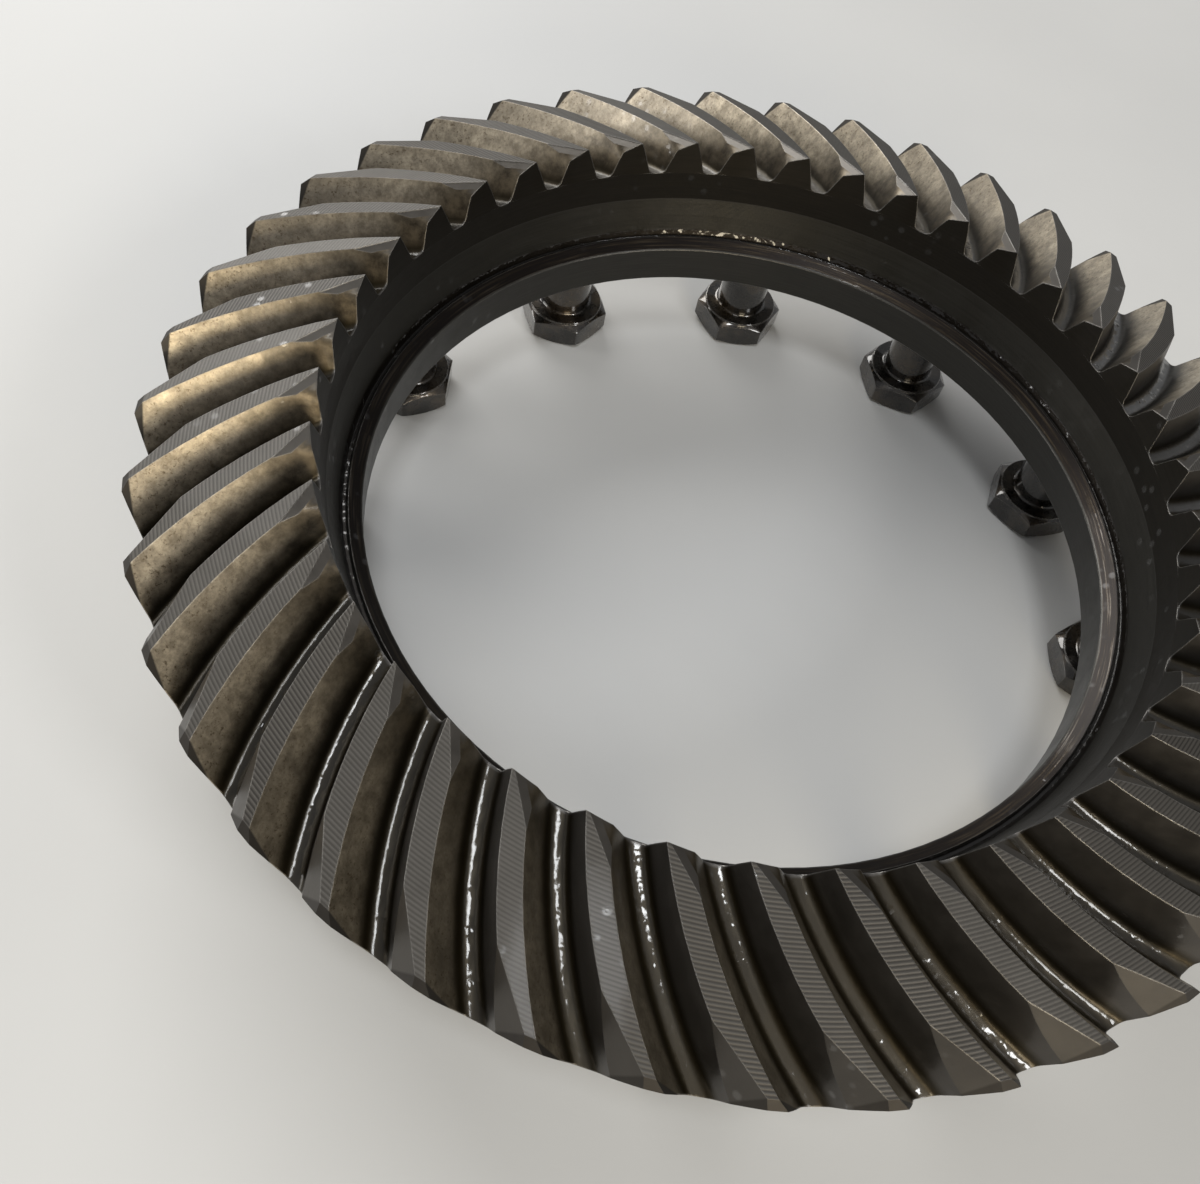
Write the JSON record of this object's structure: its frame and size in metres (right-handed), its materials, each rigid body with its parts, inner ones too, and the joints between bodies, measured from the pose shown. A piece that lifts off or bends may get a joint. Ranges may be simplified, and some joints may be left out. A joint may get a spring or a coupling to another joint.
{
  "type": "spiral bevel ring gear",
  "caption": "Spiral bevel ring gear (crown wheel) of a final drive, with its ring of hex bolts part-screwed into the rear face.",
  "frame": {"origin": "centre of the rear mounting face, on the gear's axis", "axes": "+Z along the gear's axis, from the rear mounting face towards the teeth; +X through the first bolt"},
  "size_m": [0.2313, 0.2312, 0.0568],
  "materials": {
    "gear_steel": "oiled, ground and lapped",
    "bolt_steel": "black oxide, oiled"
  },
  "bodies": {
    "wheel": {"crown_wheel": "gear_steel"},
    "screw_01": {"bolt_01": "bolt_steel"},
    "screw_02": {"bolt_02": "bolt_steel"},
    "screw_03": {"bolt_03": "bolt_steel"},
    "screw_04": {"bolt_04": "bolt_steel"},
    "screw_05": {"bolt_05": "bolt_steel"},
    "screw_06": {"bolt_06": "bolt_steel"},
    "screw_07": {"bolt_07": "bolt_steel"},
    "screw_08": {"bolt_08": "bolt_steel"},
    "screw_09": {"bolt_09": "bolt_steel"},
    "screw_10": {"bolt_10": "bolt_steel"},
    "screw_11": {"bolt_11": "bolt_steel"},
    "screw_12": {"bolt_12": "bolt_steel"}
  },
  "joints": [
    {"name": "bolt_01_screw_in", "type": "slide", "parent": "wheel", "child": "screw_01", "axis": [0, 0, 1], "range_m": [-0.0145, 0.0018]},
    {"name": "bolt_02_screw_in", "type": "slide", "parent": "wheel", "child": "screw_02", "axis": [0, 0, 1], "range_m": [-0.0145, 0.0018]},
    {"name": "bolt_03_screw_in", "type": "slide", "parent": "wheel", "child": "screw_03", "axis": [0, 0, 1], "range_m": [-0.0145, 0.0018]},
    {"name": "bolt_04_screw_in", "type": "slide", "parent": "wheel", "child": "screw_04", "axis": [0, 0, 1], "range_m": [-0.0145, 0.0018]},
    {"name": "bolt_05_screw_in", "type": "slide", "parent": "wheel", "child": "screw_05", "axis": [0, 0, 1], "range_m": [-0.0145, 0.0018]},
    {"name": "bolt_06_screw_in", "type": "slide", "parent": "wheel", "child": "screw_06", "axis": [0, 0, 1], "range_m": [-0.0145, 0.0018]},
    {"name": "bolt_07_screw_in", "type": "slide", "parent": "wheel", "child": "screw_07", "axis": [0, 0, 1], "range_m": [-0.0145, 0.0018]},
    {"name": "bolt_08_screw_in", "type": "slide", "parent": "wheel", "child": "screw_08", "axis": [0, 0, 1], "range_m": [-0.0145, 0.0018]},
    {"name": "bolt_09_screw_in", "type": "slide", "parent": "wheel", "child": "screw_09", "axis": [0, 0, 1], "range_m": [-0.0145, 0.0018]},
    {"name": "bolt_10_screw_in", "type": "slide", "parent": "wheel", "child": "screw_10", "axis": [0, 0, 1], "range_m": [-0.0145, 0.0018]},
    {"name": "bolt_11_screw_in", "type": "slide", "parent": "wheel", "child": "screw_11", "axis": [0, 0, 1], "range_m": [-0.0145, 0.0018]},
    {"name": "bolt_12_screw_in", "type": "slide", "parent": "wheel", "child": "screw_12", "axis": [0, 0, 1], "range_m": [-0.0145, 0.0018]}
  ]
}
